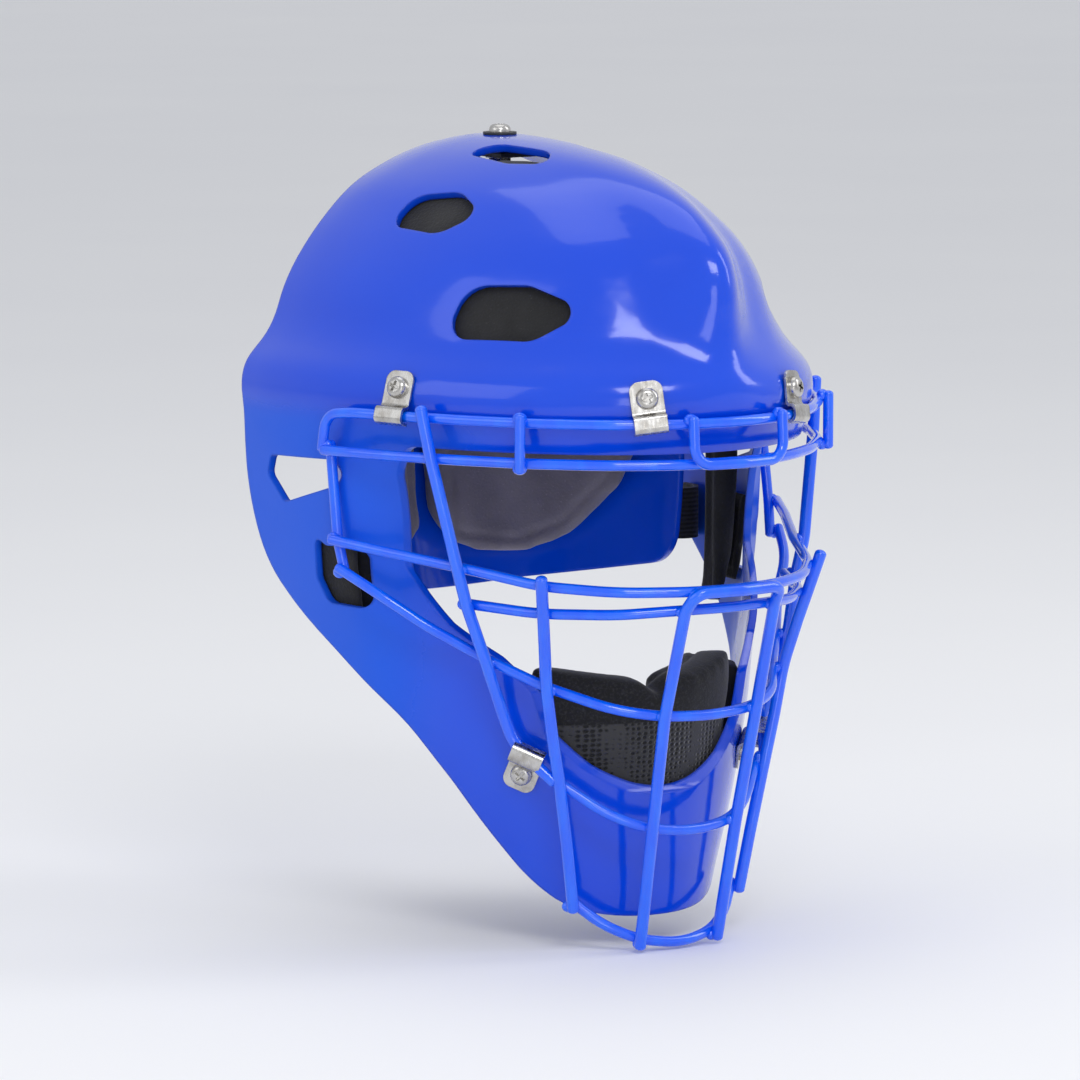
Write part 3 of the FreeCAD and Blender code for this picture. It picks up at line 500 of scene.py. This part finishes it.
def weld_beads():
    """Small drips of coating where two wires of the cage meet."""
    grid = bmesh.new()
    for first, second in frame["record"]["behaviour"]["press_fits"]:
        if "clip" in first:     # a clip grips its wire and is not welded to it
            continue
        for side in (-1.0, 1.0):
            bead_between(grid, NODES[first].data, NODES[second].data, side)
    mesh = bpy.data.meshes.new("weld_beads")
    grid.to_mesh(mesh)
    grid.free()
    obj = mesh_object("weld_beads", mesh, "cage_blue")
    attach(obj, "shell")


def bead_between(grid, mesh, other, side):
    """One bead where the two wires come closest, on one side of the middle plane."""
    overlap, reach, nearest = 1.0 * MM, 2.2 * MM, 12
    tree = KDTree(len(other.vertices))
    for index, vertex in enumerate(other.vertices):
        tree.insert(vertex.co, index)
    tree.balance()
    near = []
    for vertex in mesh.vertices:
        if vertex.co.x * side < -overlap:
            continue
        point, _, distance = tree.find(vertex.co)
        near.append((distance, ((vertex.co + point) / 2.0)[:]))
    near = [item for item in sorted(near)[:nearest] if item[0] < reach]
    if not near:
        return
    middle = Vector(np.mean([place for _, place in near], axis=0))
    away = Vector((middle.x, middle.y - 0.015, 0.0)).normalized()
    turn = away.to_track_quat("Z", "Y").to_matrix().to_4x4()
    scale = Matrix.Diagonal((2.75 * MM, 2.3 * MM, 2.2 * MM, 1.0))
    bmesh.ops.create_icosphere(grid, subdivisions=3, radius=1.0,
                               matrix=Matrix.Translation(middle) @ turn @ scale)


def cap_of(face, seen, radius):
    """The flat patch around this face, if it is the round cut end of a wire."""
    patch, queue = [], [face]
    seen.add(face.index)
    while queue:
        current = queue.pop()
        patch.append(current)
        for edge in current.edges:
            for other in edge.link_faces:
                if other.index not in seen and other.normal.dot(face.normal) > 0.9999:
                    seen.add(other.index)
                    queue.append(other)
    area = sum(item.calc_area() for item in patch)
    corners = {vertex for item in patch for vertex in item.verts}
    middle = sum((vertex.co for vertex in corners), Vector()) / len(corners)
    spread = max((vertex.co - middle).length for vertex in corners)
    full = math.pi * radius * radius
    return middle if 0.9 * full < area < 1.05 * full and spread < 1.15 * radius else None


def wire_ends():
    """Domed coating over the cut ends that are still a full flat disc."""
    grid = bmesh.new()
    for label, slot_name in SLOT_OF.items():
        if slot_name != "cage_blue":
            continue
        thick = any(part in label for part in ("side_post", "cheek_post", "nose_loop"))
        radius = POST_RADIUS if thick else RAIL_RADIUS
        wire = bmesh.new()
        wire.from_mesh(NODES[label].data)
        bmesh.ops.remove_doubles(wire, verts=wire.verts, dist=1e-6)
        wire.faces.index_update()
        seen = set()
        for face in wire.faces:
            if face.index in seen:
                continue
            middle = cap_of(face, seen, radius)
            if middle is None:
                continue
            turn = face.normal.to_track_quat("Z", "Y").to_matrix().to_4x4()
            scale = Matrix.Diagonal((radius * 1.01, radius * 1.01, radius * 0.75, 1.0))
            bmesh.ops.create_icosphere(grid, subdivisions=3, radius=1.0,
                                       matrix=Matrix.Translation(middle) @ turn @ scale)
        wire.free()
    mesh = bpy.data.meshes.new("wire_ends")
    grid.to_mesh(mesh)
    grid.free()
    obj = mesh_object("wire_ends", mesh, "cage_blue")
    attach(obj, "shell")


weld_beads()
wire_ends()


# ---------------------------------------------------------------- straps

def strap(label):
    """Webbing with the strap's own shape, a smooth-shaded copy of the strap part."""
    source = NODES[label]
    obj = mesh_object(label + "_webbing", source.data.copy(), SLOT_OF[label])
    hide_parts(label)
    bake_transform(obj)


for side in ("left", "right"):
    strap("elastic_strap_" + side)


# ---------------------------------------------------------------- stage

def softbox(name, place, target, width, height, power):
    light = bpy.data.lights.new(name, "AREA")
    light.shape = "RECTANGLE"
    light.size, light.size_y = width, height
    light.energy = power
    obj = bpy.data.objects.new(name, light)
    bpy.context.scene.collection.objects.link(obj)
    obj.location = place
    obj.rotation_euler = (Vector(target) - Vector(place)).to_track_quat("-Z", "Y").to_euler()


def floor():
    shade = Shader("floor")
    tone = shade.noise(3.0, 2.0)
    shade.set(Base_Color=shade.mix(tone, (0.86, 0.86, 0.87), (0.90, 0.90, 0.90)), Roughness=0.7)
    level = cad_bounds[0][2] - 1.0 * MM
    mesh = bpy.data.meshes.new("floor")
    reach = 9.0
    mesh.from_pydata([(-reach, -reach, level), (reach, -reach, level), (reach, reach, level),
                      (-reach, reach, level)], [], [(0, 1, 2, 3)])
    obj = bpy.data.objects.new("floor", mesh)
    bpy.context.scene.collection.objects.link(obj)
    mesh.materials.append(shade.material)


def studio():
    world = bpy.data.worlds.new("studio")
    bpy.context.scene.world = world
    world.use_nodes = True
    background = next(n for n in world.node_tree.nodes if n.type == "BACKGROUND")
    background.inputs[0].default_value = (0.93, 0.95, 1.0, 1.0)
    background.inputs[1].default_value = 0.70
    softbox("key", (-0.55, -1.35, 1.15), (0, 0, 0.05), 0.7, 0.5, 8.0)
    softbox("left", (-1.7, 0.1, 0.9), (0, 0, 0), 1.1, 1.1, 4.0)
    softbox("right", (1.2, -0.7, 0.9), (0, 0, 0.1), 0.35, 1.3, 5.0)
    softbox("top", (0.2, 0.3, 1.7), (0, 0, 0), 1.2, 1.2, 4.0)
    softbox("front", (-0.9, -1.7, 0.1), (0, 0, -0.05), 0.5, 0.7, 2.5)


def camera():
    """The photograph's camera, as fitted to it."""
    azimuth, elevation = math.radians(-35.0), math.radians(7.4)
    distance, pixels_per_metre, frame_pixels, shift_pixels = 2.8, 2600.0, 1080.0, 3.0
    back = Vector((math.cos(elevation) * math.sin(azimuth),
                   -math.cos(elevation) * math.cos(azimuth), math.sin(elevation)))
    lens = bpy.data.cameras.new("camera")
    lens.sensor_width = 36.0
    lens.lens = pixels_per_metre * distance / frame_pixels * lens.sensor_width
    obj = bpy.data.objects.new("camera", lens)
    bpy.context.scene.collection.objects.link(obj)
    turn = back.to_track_quat("Z", "Y")
    right = turn @ Vector((1.0, 0.0, 0.0))
    obj.location = back * distance - right * (shift_pixels / pixels_per_metre)
    obj.rotation_euler = turn.to_euler()
    bpy.context.scene.camera = obj


floor()
studio()
camera()
bpy.context.scene.view_settings.view_transform = "Standard"
